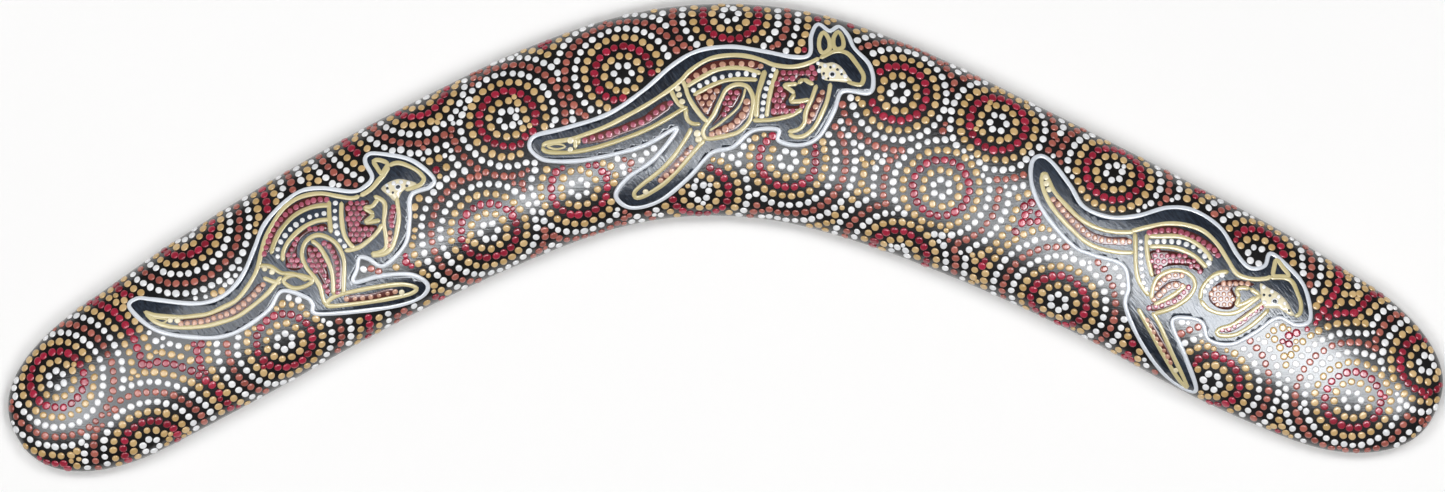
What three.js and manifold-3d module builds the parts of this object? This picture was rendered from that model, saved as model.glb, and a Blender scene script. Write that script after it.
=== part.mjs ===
// A dot-painted wooden boomerang, lying flat on its back face.
//
// The blade is a V of plywood: veneers glued one on another, sawn to the outline, then rasped
// to a dome on the front and rounded a little at the edges of the flat back. A coat of black
// ground paint covers the front and wraps over the edges, and three painted kangaroos stand
// proud of it as thick paint.
//
// Units are millimetres. +Z is up, +X runs along the span from tip to tip, and +Y points to the
// outside of the elbow. The origin is on the flat back face, in the middle of the elbow.

import * as THREE from 'three';
import Module from 'manifold-3d';
import { mergeVertices } from 'three/addons/utils/BufferGeometryUtils.js';

// ---- Driving dimensions ----

const PLY_COUNT = 9;
const PLY_THICKNESS = 2;

// The middle line of the blade: x, y, half width, and height of the dome's crown.
const SPINE_STATIONS = [
  [-247.5, -114.0, 26.5, 12.0],
  [-214.5, -96.0, 28.5, 15.0],
  [-176.0, -72.6, 31.2, 17.0],
  [-134.7, -48.3, 32.4, 17.6],
  [-92.8, -26.7, 33.4, 17.8],
  [-51.2, -8.9, 35.0, 18.0],
  [-16.0, -0.7, 36.7, 18.0],
  [19.3, -1.6, 37.0, 18.0],
  [54.0, -11.4, 35.4, 18.0],
  [96.0, -29.2, 33.3, 17.8],
  [138.0, -49.4, 32.5, 17.6],
  [179.0, -71.2, 32.7, 17.0],
  [214.5, -89.6, 30.0, 14.5],
  [248.5, -105.0, 26.0, 11.5],
];

// Each tip rounds off over this length, along a superellipse of this power.
const LEFT_TIP = { length: 46, power: 2.35 };
const RIGHT_TIP = { length: 46, power: 2.45 };

// The widest line of the blade is this high; below it the edge rounds under to the back face.
const WIDEST_HEIGHT = 3;
const BACK_ROUNDING = 3.5;

// Paint: the ground coat, the gap under each layer, and the thick paint of the kangaroos.
const COAT_THICKNESS = 0.3;
const LAYER_GAP = 0.3;
const COAT_LOWEST = 1;
const FIGURE_THICKNESS = 0.4;
const FIGURE_LOWEST = WIDEST_HEIGHT;

// Fineness of the surface: sections along the blade, facets across the dome and round the edge.
const SECTIONS = 44;
const DOME_FACETS = 12;
const ROUNDING_FACETS = 3;

// Outlines of the kangaroos, seen from above, clockwise from the tip of the tail.
const LEFT_KANGAROO = [
  [-207.5, -69.2], [-205.0, -66.0], [-199.5, -66.3], [-186.4, -67.7], [-178.8, -66.8],
  [-172.7, -63.4], [-167.9, -57.5], [-164.1, -48.8], [-160.8, -40.6], [-155.3, -34.0],
  [-148.4, -28.8], [-140.7, -27.5], [-130.0, -28.7], [-125.4, -26.9], [-122.9, -23.6],
  [-125.3, -18.6], [-124.8, -16.1], [-121.6, -15.4], [-111.4, -17.0], [-105.6, -20.1],
  [-101.4, -24.4], [-103.0, -27.1], [-109.4, -30.0], [-109.9, -38.6], [-111.6, -47.2],
  [-119.0, -54.4], [-124.4, -51.9], [-127.4, -51.7], [-128.2, -55.5], [-129.3, -60.2],
  [-120.0, -58.0], [-109.8, -57.5], [-103.8, -61.0], [-106.6, -65.6], [-118.0, -69.0],
  [-141.4, -71.2], [-143.6, -68.0], [-146.0, -65.4], [-154.4, -63.3], [-159.6, -70.4],
  [-171.4, -78.0], [-183.0, -79.5], [-198.0, -77.0],
];
const MIDDLE_KANGAROO = [
  [-68.1, -12.6], [-65.8, -9.1], [-55.8, -6.6], [-40.8, -1.7], [-28.6, 6.4], [-18.3, 15.3],
  [-9.4, 20.3], [2.0, 21.8], [13.5, 20.2], [24.0, 18.2], [29.5, 19.1], [30.1, 25.6], [32.5, 29.7],
  [36.5, 27.3], [39.8, 28.9], [43.0, 25.6], [45.0, 21.4], [50.3, 15.6], [51.7, 9.4], [49.8, 5.7],
  [41.0, 6.3], [38.0, -0.5], [32.8, -9.4], [26.0, -12.4], [18.7, -10.8], [18.6, -7.0],
  [9.8, -7.4], [2.6, -13.1], [-4.7, -15.2], [-12.6, -23.6], [-22.8, -31.7], [-32.7, -34.1],
  [-38.0, -30.0], [-33.8, -23.8], [-24.6, -17.2], [-16.6, -6.4], [-28.8, -12.8], [-48.1, -17.5],
  [-60.8, -17.9], [-65.8, -16.0],
];
const RIGHT_KANGAROO = [
  [106.9, -19.0], [109.8, -16.3], [114.0, -18.5], [120.3, -26.6], [125.1, -34.0], [134.0, -37.6],
  [143.6, -37.2], [154.4, -34.3], [163.7, -35.4], [172.8, -41.4], [178.5, -50.6], [183.0, -55.3],
  [188.2, -54.6], [190.3, -50.3], [196.3, -54.8], [202.1, -62.1], [204.1, -72.8], [199.4, -75.2],
  [192.7, -72.6], [184.9, -77.7], [176.6, -81.8], [168.8, -80.3], [166.4, -74.4], [161.0, -72.6],
  [155.9, -74.3], [160.9, -87.0], [164.3, -98.2], [154.6, -93.3], [145.7, -81.9], [139.8, -68.9],
  [140.7, -61.8], [138.6, -54.2], [128.3, -50.7], [121.0, -47.2], [111.7, -36.6], [107.2, -27.0],
];

const VENEER_COLOURS = [0xc79b63, 0xa9794a];
const GROUND_COLOUR = 0x17161a;
const FIGURE_COLOUR = 0x232a38;

// ---- The blade's surface ----

const spineCurve = new THREE.CatmullRomCurve3(
  SPINE_STATIONS.map(([x, y]) => new THREE.Vector3(x, y, 0)), false, 'catmullrom', 0.5);
const sizeCurve = new THREE.CatmullRomCurve3(
  SPINE_STATIONS.map(([, , halfWidth, crown]) => new THREE.Vector3(halfWidth, crown, 0)),
  false, 'catmullrom', 0.5);
const SPINE_LENGTH = spineCurve.getLength();

// How far a tip has opened out, from 0 at its end to 1 where the full section begins.
function tipOpening(distance, tip, inset) {
  const closed = Math.max(0, 1 - distance / (tip.length - inset));
  return Math.pow(1 - Math.pow(closed, tip.power), 1 / tip.power);
}

// The section at a fraction of the way along the blade, drawn in by inset on every side. A
// negative inset draws it out, and past the ends of the spine the blade runs straight on.
function sectionAt(fraction, inset) {
  const fromLeft = (SPINE_LENGTH - 2 * inset) * fraction;
  const fromRight = (SPINE_LENGTH - 2 * inset) * (1 - fraction);
  const distance = inset + fromLeft;
  const onSpine = THREE.MathUtils.clamp(distance, 0, SPINE_LENGTH);
  const t = spineCurve.getUtoTmapping(onSpine / SPINE_LENGTH);
  const along = spineCurve.getTangent(t);
  const size = sizeCurve.getPoint(t);
  const opening = tipOpening(fromLeft, LEFT_TIP, inset) * tipOpening(fromRight, RIGHT_TIP, inset);
  return {
    centre: spineCurve.getPoint(t).addScaledVector(along, distance - onSpine),
    along,
    halfWidth: (size.x - inset) * opening,
    rise: (size.y - WIDEST_HEIGHT - inset) * opening,
  };
}

// A point of a section: across runs from -1 at the inner edge to 1 at the outer edge.
function pointOf(section, across, height) {
  const offset = section.halfWidth * across;
  return new THREE.Vector3(
    section.centre.x - section.along.y * offset,
    section.centre.y + section.along.x * offset,
    height);
}

// One closed loop round the blade: over the dome, then round under one edge and back up the other.
function sectionLoop(fraction, inset) {
  const section = sectionAt(fraction, inset);
  const loop = [];
  for (let i = 0; i <= DOME_FACETS; i++) {
    const angle = Math.PI * (i / DOME_FACETS - 0.5);
    loop.push(pointOf(section, Math.sin(angle), WIDEST_HEIGHT + section.rise * Math.cos(angle)));
  }
  const under = [];
  for (let i = 1; i <= ROUNDING_FACETS; i++) {
    const angle = 0.5 * Math.PI * i / ROUNDING_FACETS;
    const drawnIn = sectionAt(fraction, inset + BACK_ROUNDING * (1 - Math.cos(angle)));
    const height = i === ROUNDING_FACETS ? 0 : WIDEST_HEIGHT * (1 - Math.sin(angle));
    under.push([drawnIn, height]);
  }
  for (const [drawnIn, height] of under) loop.push(pointOf(drawnIn, 1, height));
  for (const [drawnIn, height] of under.reverse()) loop.push(pointOf(drawnIn, -1, height));
  return loop;
}

// The whole blade as a closed surface, drawn in by inset. Both tips close to a point.
function bladeGeometry(inset) {
  const loops = [];
  for (let i = 0; i <= SECTIONS; i++) {
    const fraction = 0.5 * (1 - Math.cos(Math.PI * i / SECTIONS));
    loops.push(sectionLoop(fraction, inset));
  }
  const size = loops[0].length;
  const positions = loops.flat().flatMap((point) => [point.x, point.y, point.z]);
  const index = [];
  for (let i = 0; i < SECTIONS; i++) {
    for (let j = 0; j < size; j++) {
      const a = i * size + j;
      const b = i * size + (j + 1) % size;
      index.push(a, a + size, b, b, a + size, b + size);
    }
  }
  const geometry = new THREE.BufferGeometry();
  geometry.setAttribute('position', new THREE.Float32BufferAttribute(positions, 3));
  geometry.setIndex(index);
  return geometry;
}

// ---- Cutting and joining ----

const wasm = await Module();
wasm.setup();

function solidOf(geometry) {
  const bare = geometry.clone();
  bare.deleteAttribute('normal');
  bare.deleteAttribute('uv');
  const merged = mergeVertices(bare, 1e-4);
  const corners = merged.index.array;
  const triVerts = [];
  for (let i = 0; i < corners.length; i += 3) {
    const [a, b, c] = [corners[i], corners[i + 1], corners[i + 2]];
    if (a !== b && b !== c && c !== a) triVerts.push(a, b, c);
  }
  return new wasm.Manifold(new wasm.Mesh({
    numProp: 3,
    vertProperties: new Float32Array(merged.attributes.position.array),
    triVerts: new Uint32Array(triVerts),
  }));
}

function geometryOf(solid) {
  const mesh = solid.getMesh();
  const geometry = new THREE.BufferGeometry();
  geometry.setAttribute('position', new THREE.BufferAttribute(mesh.vertProperties, 3));
  geometry.setIndex(new THREE.BufferAttribute(mesh.triVerts, 1));
  geometry.computeVertexNormals();
  return geometry;
}

// A level layer of space between two heights, wider than the whole object.
const LAYER_SIDE = 800;
function layerBetween(bottom, top) {
  const box = new THREE.BoxGeometry(LAYER_SIDE, LAYER_SIDE, top - bottom);
  box.translate(0, 0, (bottom + top) / 2);
  return solidOf(box);
}

const BELOW_ALL = -5;
const ABOVE_ALL = 40;

// ---- The pieces ----

const boomerang = new THREE.Group();
boomerang.name = 'boomerang';

function addPiece(name, solid, colour, roughness) {
  const material = new THREE.MeshStandardMaterial({ color: colour, roughness, metalness: 0 });
  const mesh = new THREE.Mesh(geometryOf(solid), material);
  mesh.name = name;
  boomerang.add(mesh);
}

// The veneers, numbered from the back face up. Their grain runs along and across by turns.
function addPlies() {
  const wood = solidOf(bladeGeometry(COAT_THICKNESS + LAYER_GAP));
  for (let i = 0; i < PLY_COUNT; i++) {
    const bottom = i === 0 ? BELOW_ALL : i * PLY_THICKNESS;
    const top = i === PLY_COUNT - 1 ? ABOVE_ALL : (i + 1) * PLY_THICKNESS;
    const ply = wood.intersect(layerBetween(bottom, top));
    addPiece(`ply_${i + 1}`, ply, VENEER_COLOURS[i % 2], 0.6);
  }
}

// The ground coat: a skin over the dome and the edges, open over the back face.
function addGroundCoat() {
  const outside = solidOf(bladeGeometry(0));
  const inside = solidOf(bladeGeometry(COAT_THICKNESS));
  const coat = outside.subtract(inside).intersect(layerBetween(COAT_LOWEST, ABOVE_ALL));
  addPiece('ground_coat', coat, GROUND_COLOUR, 0.3);
}

// A kangaroo: the thick paint inside its outline, following the dome.
function addKangaroo(name, outline, thickPaint) {
  const points = outline.map(([x, y]) => new THREE.Vector3(x, y, 0));
  const curve = new THREE.CatmullRomCurve3(points, true, 'centripetal');
  const shape = new THREE.Shape(curve.getPoints(2 * outline.length).slice(0, -1)
    .map((point) => new THREE.Vector2(point.x, point.y)));
  const prism = new THREE.ExtrudeGeometry(shape, {
    depth: ABOVE_ALL - FIGURE_LOWEST, bevelEnabled: false,
  });
  prism.translate(0, 0, FIGURE_LOWEST);
  addPiece(name, thickPaint.intersect(solidOf(prism)), FIGURE_COLOUR, 0.3);
}

function addKangaroos() {
  const top = solidOf(bladeGeometry(-LAYER_GAP - FIGURE_THICKNESS));
  const bottom = solidOf(bladeGeometry(-LAYER_GAP));
  const thickPaint = top.subtract(bottom);
  addKangaroo('kangaroo_left', LEFT_KANGAROO, thickPaint);
  addKangaroo('kangaroo_middle', MIDDLE_KANGAROO, thickPaint);
  addKangaroo('kangaroo_right', RIGHT_KANGAROO, thickPaint);
}

addPlies();
addGroundCoat();
addKangaroos();

export default boomerang;
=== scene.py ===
"""A dot-painted plywood boomerang, lying on its flat back face.

The blade's surface is one formula (the class Blade). The veneers, the ground coat, every ring of
dots and the three painted kangaroos are laid on it. Lengths are in metres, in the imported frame:
+X runs from tip to tip, +Y to the outside of the elbow, and +Z up.
"""

import math
from itertools import product

import bmesh
import bpy
import numpy as np
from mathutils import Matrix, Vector
from mathutils.geometry import delaunay_2d_cdt


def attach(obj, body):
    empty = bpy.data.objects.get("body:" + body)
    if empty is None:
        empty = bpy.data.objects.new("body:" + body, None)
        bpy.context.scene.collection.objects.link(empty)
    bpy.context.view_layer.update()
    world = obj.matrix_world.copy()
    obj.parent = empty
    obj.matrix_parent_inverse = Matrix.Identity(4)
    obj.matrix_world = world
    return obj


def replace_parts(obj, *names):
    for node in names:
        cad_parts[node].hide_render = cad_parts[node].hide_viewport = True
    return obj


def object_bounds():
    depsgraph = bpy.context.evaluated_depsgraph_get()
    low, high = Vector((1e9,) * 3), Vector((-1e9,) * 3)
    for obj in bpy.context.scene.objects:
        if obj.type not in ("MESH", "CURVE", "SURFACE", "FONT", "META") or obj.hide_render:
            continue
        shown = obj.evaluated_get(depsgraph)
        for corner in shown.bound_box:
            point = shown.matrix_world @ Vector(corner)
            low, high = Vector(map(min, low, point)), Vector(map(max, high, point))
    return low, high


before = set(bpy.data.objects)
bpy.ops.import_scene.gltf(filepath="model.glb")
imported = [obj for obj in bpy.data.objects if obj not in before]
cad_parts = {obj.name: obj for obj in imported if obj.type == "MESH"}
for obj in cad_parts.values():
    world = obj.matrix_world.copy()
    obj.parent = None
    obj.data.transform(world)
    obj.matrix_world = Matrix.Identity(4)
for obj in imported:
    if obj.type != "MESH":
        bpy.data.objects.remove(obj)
cad_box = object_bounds()

MM = 0.001
SEED = 7

# ---- The blade ----

# The middle line: x, y, half width, and height of the dome's crown.
SPINE_STATIONS = MM * np.array([
    (-247.5, -114.0, 26.5, 12.0),
    (-214.5, -96.0, 28.5, 15.0),
    (-176.0, -72.6, 31.2, 17.0),
    (-134.7, -48.3, 32.4, 17.6),
    (-92.8, -26.7, 33.4, 17.8),
    (-51.2, -8.9, 35.0, 18.0),
    (-16.0, -0.7, 36.7, 18.0),
    (19.3, -1.6, 37.0, 18.0),
    (54.0, -11.4, 35.4, 18.0),
    (96.0, -29.2, 33.3, 17.8),
    (138.0, -49.4, 32.5, 17.6),
    (179.0, -71.2, 32.7, 17.0),
    (214.5, -89.6, 30.0, 14.5),
    (248.5, -105.0, 26.0, 11.5),
])
# Each tip rounds off over this length, along a superellipse of this power.
LEFT_TIP = (46 * MM, 2.35)
RIGHT_TIP = (46 * MM, 2.45)
# The widest line of the blade is this high; below it the edge rounds under to the back face.
WIDEST_HEIGHT = 3 * MM
BACK_ROUNDING = 3.5 * MM

PLY_COUNT = 9
PLY_THICKNESS = 2 * MM
COAT_THICKNESS = 0.3 * MM
LAYER_GAP = 0.3 * MM

# Fineness: spline steps for each station, sections along the blade, steps over the dome and under
# each edge, and how close to the very edge a lifted place may come.
SPINE_STEPS = 80
SECTIONS = 260
DOME_STEPS = 44
UNDER_STEPS = 6
EDGE_SHARE = 0.999
TIP_GAP = 0.2 * MM


def catmull_rom(points, per_span, closed=False):
    """Points along a Catmull-Rom spline through the given points."""
    points = np.asarray(points, float)
    if closed:
        padded = np.vstack([points[-1:], points, points[:2]])
    else:
        before = 2 * points[0] - points[1]
        after = 2 * points[-1] - points[-2]
        padded = np.vstack([before, points, after])
    t = np.linspace(0, 1, per_span, endpoint=False)[:, None]
    spans = []
    for p0, p1, p2, p3 in zip(padded, padded[1:], padded[2:], padded[3:]):
        bend = 2 * p0 - 5 * p1 + 4 * p2 - p3
        twist = -p0 + 3 * p1 - 3 * p2 + p3
        spans.append(0.5 * (2 * p1 + (p2 - p0) * t + bend * t**2 + twist * t**3))
    curve = np.vstack(spans)
    return curve if closed else np.vstack([curve, points[-1:]])


def section_fractions():
    """Places of the sections as shares of the length, closer together at both tips."""
    return 0.5 * (1 - np.cos(np.pi * np.arange(SECTIONS + 1) / SECTIONS))


class Blade:
    """The painted blade's surface, worked out from the spine's stations.

    A point is described by s, its distance along the spine, its offset across, and its height.
    The dome is where the field is 0: there the section's ellipse and the tips' superellipses meet.
    """

    def __init__(self):
        self.curve = catmull_rom(SPINE_STATIONS, SPINE_STEPS)
        steps = np.linalg.norm(np.diff(self.curve[:, :2], axis=0), axis=1)
        self.s = np.concatenate([[0], np.cumsum(steps)])
        self.length = self.s[-1]
        along = np.gradient(self.curve[:, :2], self.s, axis=0)
        self.along = along / np.linalg.norm(along, axis=1)[:, None]
        heading = np.unwrap(np.arctan2(self.along[:, 1], self.along[:, 0]))
        self.bend = np.gradient(heading, self.s)
        self.slopes = np.gradient(self.curve[:, 2:], self.s, axis=0)

    def section(self, s):
        """Centre, direction, bend, full half width and full rise of the section at s."""
        beyond = s - np.clip(s, 0, self.length)
        x, y, half, crown = (np.interp(s, self.s, self.curve[:, i]) for i in range(4))
        tx, ty = (np.interp(s, self.s, self.along[:, i]) for i in range(2))
        bend = np.interp(s, self.s, self.bend)
        return x + beyond * tx, y + beyond * ty, tx, ty, bend, half, crown - WIDEST_HEIGHT

    def tips(self, s):
        """Power of the nearer tip's superellipse, and how far s has gone into that tip."""
        left = s < self.length / 2
        from_end = np.where(left, s, self.length - s)
        tip_length = np.where(left, LEFT_TIP[0], RIGHT_TIP[0])
        power = np.where(left, LEFT_TIP[1], RIGHT_TIP[1])
        depth = np.maximum(0, 1 - from_end / tip_length)
        slope = np.where(depth > 0, np.where(left, -1, 1) / tip_length, 0)
        return power, depth, slope

    def opening(self, s, inset=0.0):
        """How much of the full section is left at s, from 0 at a tip's end to 1."""
        left = np.clip(1 - (s - inset) / (LEFT_TIP[0] - inset), 0, 1)
        right = np.clip(1 - (self.length - inset - s) / (RIGHT_TIP[0] - inset), 0, 1)
        left_open = (1 - left ** LEFT_TIP[1]) ** (1 / LEFT_TIP[1])
        right_open = (1 - right ** RIGHT_TIP[1]) ** (1 / RIGHT_TIP[1])
        return left_open * right_open

    def locate(self, x, y, s=None):
        """Distance along the spine and offset across of a place seen from above."""
        if s is None:
            gap = (x[:, None] - self.curve[:, 0]) ** 2 + (y[:, None] - self.curve[:, 1]) ** 2
            s = self.s[np.argmin(gap, axis=1)]
        for _ in range(3):
            cx, cy, tx, ty, bend = self.section(s)[:5]
            offset = (y - cy) * tx - (x - cx) * ty
            s = s + ((x - cx) * tx + (y - cy) * ty) / (1 - bend * offset)
        cx, cy, tx, ty = self.section(s)[:4]
        return s, (y - cy) * tx - (x - cx) * ty

    def field(self, points, s=None):
        """The field, its gradient in space, and s, at each point."""
        s, offset = self.locate(points[:, 0], points[:, 1], s)
        tx, ty, bend, half, rise = self.section(s)[2:]
        power, depth, depth_slope = self.tips(s)
        half_slope = np.interp(s, self.s, self.slopes[:, 0])
        rise_slope = np.interp(s, self.s, self.slopes[:, 1])
        height = points[:, 2] - WIDEST_HEIGHT
        reach = np.maximum(np.hypot(offset / half, height / rise), 1e-6)
        pull = power * reach ** (power - 2)
        across = pull * offset / half**2
        up = pull * height / rise**2
        lengthwise = power * depth ** (power - 1) * depth_slope
        lengthwise -= pull * (offset**2 * half_slope / half**3 + height**2 * rise_slope / rise**3)
        lengthwise /= 1 - bend * offset
        gradient = [tx * lengthwise - ty * across, ty * lengthwise + tx * across, up]
        return reach**power + depth**power - 1, np.stack(gradient, axis=1), s

    def settle(self, points, s=None):
        """Move points the short way onto the dome."""
        for _ in range(2):
            value, gradient, s = self.field(points, s)
            square = np.sum(gradient**2, axis=1)
            points = points - (value / square)[:, None] * gradient
        return points, s

    def normal(self, points, s=None):
        """The outward normals at points of the dome."""
        gradient = self.field(points, s)[1]
        return gradient / np.linalg.norm(gradient, axis=1)[:, None]

    def place(self, s, share):
        """A point of the dome: share runs from -1 at the inner edge to 1 at the outer edge."""
        x, y, tx, ty, _, half, rise = self.section(s)
        opening = self.opening(s)
        across = share * half * opening
        z = WIDEST_HEIGHT + rise * opening * np.sqrt(1 - share**2)
        return np.stack([x - ty * across, y + tx * across, z], axis=-1)

    def lift(self, x, y):
        """The point of the dome above a place, brought in to the edge from outside."""
        s, offset = self.locate(np.asarray(x, float), np.asarray(y, float))
        s = np.clip(s, TIP_GAP, self.length - TIP_GAP)
        half = self.section(s)[5] * self.opening(s)
        return self.place(s, np.clip(offset / half, -EDGE_SHARE, EDGE_SHARE))

    def row(self, fractions, inset, side, height):
        """Points at a share of the half width on one side, on a surface drawn in by inset."""
        s = inset + (self.length - 2 * inset) * fractions
        x, y, tx, ty, _, half, rise = self.section(s)
        opening = self.opening(s, inset)
        across = side * (half - inset) * opening
        z = height(np.maximum(rise - inset, 0) * opening)
        return np.stack([x - ty * across, y + tx * across, z], axis=-1)

    def loops(self, inset, lowest):
        """Loops round the blade, from under its outer edge, over the dome, to under its inner edge.

        The angle lowest, for each section, says how far under the edge the loop goes.
        """
        fractions = section_fractions()
        rows = []
        for i in range(UNDER_STEPS, 0, -1):
            rows.append(self.under_row(fractions, inset, lowest * i / UNDER_STEPS, 1))
        for angle in np.linspace(np.pi / 2, -np.pi / 2, DOME_STEPS + 1):
            rise_share = math.cos(angle)
            rows.append(self.row(fractions, inset, math.sin(angle),
                                 lambda rise: WIDEST_HEIGHT + rise * rise_share))
        for i in range(1, UNDER_STEPS + 1):
            rows.append(self.under_row(fractions, inset, lowest * i / UNDER_STEPS, -1))
        return np.stack(rows, axis=1)

    def under_row(self, fractions, inset, angle, side):
        """A row where the edge rounds under, angle past the widest line."""
        drawn_in = inset + BACK_ROUNDING * (1 - np.cos(angle))
        return self.row(fractions, drawn_in, side,
                        lambda rise: WIDEST_HEIGHT * (1 - np.sin(angle)) + 0 * rise)


blade = Blade()

# ---- Meshes ----


def new_piece(name, points, faces, material, smooth=True):
    """A mesh object of the given points and faces, with its paint or veneer slot."""
    mesh = bpy.data.meshes.new(name)
    mesh.from_pydata(np.asarray(points).tolist(), [], faces)
    mesh.polygons.foreach_set("use_smooth", [smooth] * len(mesh.polygons))
    mesh.materials.append(material)
    piece = bpy.data.objects.new(name, mesh)
    bpy.context.scene.collection.objects.link(piece)
    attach(piece, "root")
    return piece


def clean(mesh):
    """Merge doubled points and point every face outwards."""
    work = bmesh.new()
    work.from_mesh(mesh)
    bmesh.ops.remove_doubles(work, verts=work.verts, dist=0.002 * MM)
    bmesh.ops.dissolve_degenerate(work, edges=work.edges, dist=0.001 * MM)
    bmesh.ops.recalc_face_normals(work, faces=work.faces)
    work.to_mesh(mesh)
    work.free()


def grid_faces(rows, columns, start=0, wrap=False):
    """Quads of a grid of points, counted row by row."""
    faces = []
    for i in range(rows - 1):
        for j in range(columns if wrap else columns - 1):
            a = start + i * columns + j
            b = start + i * columns + (j + 1) % columns
            faces.append((a, b, b + columns, a + columns))
    return faces


class Shells:
    """Closed shells of paint that become one mesh. Each shell has a tone from 0 to 1."""

    def __init__(self):
        self.points = []
        self.faces = []
        self.tones = []
        self.count = 0

    def add(self, points, faces, tone):
        """Add one closed shell."""
        self.points.append(points)
        self.faces.extend(tuple(corner + self.count for corner in face) for face in faces)
        self.tones.append(np.full(len(points), tone))
        self.count += len(points)

    def build(self, name, material, slot):
        """Make the piece, with each point's tone as an attribute."""
        piece = new_piece(name, np.vstack(self.points), self.faces, material)
        tone = piece.data.attributes.new("tone", "FLOAT", "POINT")
        tone.data.foreach_set("value", np.concatenate(self.tones))
        return piece


def on_blade(flat):
    """Points of the dome above flat places, with the normals there."""
    points = blade.lift(flat[:, 0], flat[:, 1])
    return points, blade.normal(points)


# A dot of paint: radius and height of each ring, as shares, from its sunk base to its middle.
# The middle dips a little where the stick was lifted off.
DOT_PROFILE = [(0.98, 0.0), (1.0, 0.3), (0.93, 0.72), (0.72, 0.95), (0.36, 1.0)]
DOT_MIDDLE = 0.9
DOT_SIDES = 12
DOT_OVALITY = (0.93, 1.08)
# How far the bottom of every dot and line is sunk into what it stands on.
DOT_SINK = 0.12 * MM


def dot_faces():
    """Faces of one dot: bottom, sides and the fan round its middle point."""
    sides = DOT_SIDES
    faces = [tuple(range(sides))[::-1]]
    faces += grid_faces(len(DOT_PROFILE), sides, wrap=True)
    last = sides * (len(DOT_PROFILE) - 1)
    middle = sides * len(DOT_PROFILE)
    faces += [(last + j, last + (j + 1) % sides, middle) for j in range(sides)]
    return faces


DOT_FACES = dot_faces()


def add_dot(shells, centre, normal, radius, height, base, draw):
    """One dot of paint, a little oval and uneven, standing on the surface at centre."""
    side = np.cross(normal, (0.0, 1.0, 0.0))
    side /= np.linalg.norm(side)
    ahead = np.cross(normal, side)
    turn = draw.uniform(0, np.pi)
    side, ahead = (math.cos(turn) * side + math.sin(turn) * ahead,
                   math.cos(turn) * ahead - math.sin(turn) * side)
    oval = draw.uniform(*DOT_OVALITY)
    turns = np.linspace(0, 2 * np.pi, DOT_SIDES, endpoint=False)
    circle = np.cos(turns)[:, None] * side * oval + np.sin(turns)[:, None] * ahead / oval
    rings = []
    for reach, rise in DOT_PROFILE:
        level = base - DOT_SINK + rise * (height + DOT_SINK)
        rings.append(centre + radius * reach * circle + level * normal)
    middle = centre + (base + DOT_MIDDLE * height) * normal
    shells.add(np.vstack(rings + [middle[None]]), DOT_FACES, draw.random())


# A line of paint: the step along it, points over its arch, and the power that flattens the arch.
LINE_STEP = 0.7 * MM
LINE_ARCH = 9
ARCH_POWER = 0.7
SPLINE_STEPS = 24
# Its width varies by this share, in two waves: the length along the line for a radian of each.
UNEVENNESS = 0.09
UNEVEN_WAVES = (2.3 * MM, 5.9 * MM)
# Its round ends narrow to the root of END_LEAST, and sink towards END_RISE of its height.
END_LEAST = 0.06
END_RISE = 0.4


def evenly(points, step, closed):
    """Points about one step apart along a smooth curve through the given points."""
    curve = catmull_rom(points, SPLINE_STEPS, closed)
    if closed:
        curve = np.vstack([curve, curve[:1]])
    run = np.concatenate([[0], np.cumsum(np.linalg.norm(np.diff(curve, axis=0), axis=1))])
    count = max(1, int(round(run[-1] / step)))
    places = np.linspace(0, run[-1], count + 1)
    if closed:
        places = places[:-1]
    return np.stack([np.interp(places, run, curve[:, i]) for i in range(2)], axis=1)


def add_line(shells, flat, width, height, base, draw, closed=False):
    """A raised line of paint along a curve seen from above, arched across, with round ends."""
    path = evenly(flat, LINE_STEP, closed)
    points, normals = on_blade(path)
    if closed:
        ahead = np.roll(points, -1, axis=0) - np.roll(points, 1, axis=0)
    else:
        ahead = np.gradient(points, axis=0)
    side = np.cross(normals, ahead)
    side /= np.linalg.norm(side, axis=1)[:, None]
    count = len(points)
    run = np.arange(count) * LINE_STEP
    short, long = UNEVEN_WAVES
    uneven = 1 + UNEVENNESS * np.sin(run / short + draw.uniform(0, 6)) * np.sin(run / long)
    reach = 0.5 * width * uneven
    rise = np.full(count, height)
    if not closed:
        from_end = np.minimum(run, run[::-1]) / (0.5 * width)
        taper = np.sqrt(np.clip(1 - (1 - np.minimum(from_end, 1)) ** 2, END_LEAST, 1))
        reach = reach * taper
        rise = rise * (END_RISE + (1 - END_RISE) * taper)
    arch = np.linspace(0, np.pi, LINE_ARCH)
    loops = []
    for angle in arch:
        up = (base - DOT_SINK) + (rise + DOT_SINK) * math.sin(angle) ** ARCH_POWER
        loops.append(points + (reach * math.cos(angle))[:, None] * side + up[:, None] * normals)
    grid = np.stack(loops, axis=1)
    faces = grid_faces(count + closed, LINE_ARCH, wrap=True)
    if closed:
        faces = [tuple(corner % (count * LINE_ARCH) for corner in face) for face in faces]
    else:
        first = tuple(range(LINE_ARCH))
        end = tuple(c + (count - 1) * LINE_ARCH for c in first)
        faces += [first[::-1], end]
    shells.add(grid.reshape(-1, 3), faces, draw.random())


def inside(places, outline):
    """True for each place that an outline encloses."""
    ax, ay = outline[:, 0], outline[:, 1]
    bx, by = np.roll(ax, -1), np.roll(ay, -1)
    x, y = places[:, :1], places[:, 1:2]
    spans = (ay > y) != (by > y)
    run = np.where(by == ay, 1, by - ay)
    crossed = spans & (x < ax + (bx - ax) * (y - ay) / run)
    return crossed.sum(axis=1) % 2 == 1


def distance_to(places, outline):
    """Distance from each place to an outline."""
    start = outline[None]
    edge = np.roll(outline, -1, axis=0)[None] - start
    gap = places[:, None, :2] - start
    share = np.clip(np.sum(gap * edge, axis=2) / np.sum(edge**2, axis=2), 0, 1)
    return np.linalg.norm(gap - share[..., None] * edge, axis=2).min(axis=1)


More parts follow.
